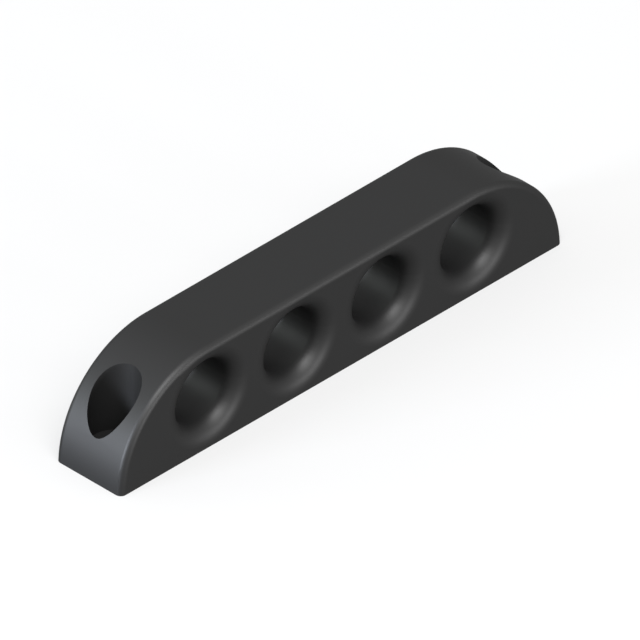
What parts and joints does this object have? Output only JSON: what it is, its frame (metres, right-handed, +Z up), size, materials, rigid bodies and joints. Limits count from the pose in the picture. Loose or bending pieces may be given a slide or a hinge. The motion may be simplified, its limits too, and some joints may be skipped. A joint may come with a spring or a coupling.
{
  "type": "rope deck organizer",
  "caption": "Low block with round ends and a row of bell-mouthed holes that lead ropes side by side over a deck, with a counterbored bolt hole at each end.",
  "frame": {"origin": "middle of the flat base that sits on the deck", "axes": "+X along the row of rope holes, +Y through the rope holes, +Z up from the deck"},
  "size_m": [0.125, 0.0186, 0.0243],
  "materials": {
    "anodised_block": "black hard anodised, satin"
  },
  "bodies": {
    "root": {"organizer_body": "anodised_block"}
  },
  "joints": []
}
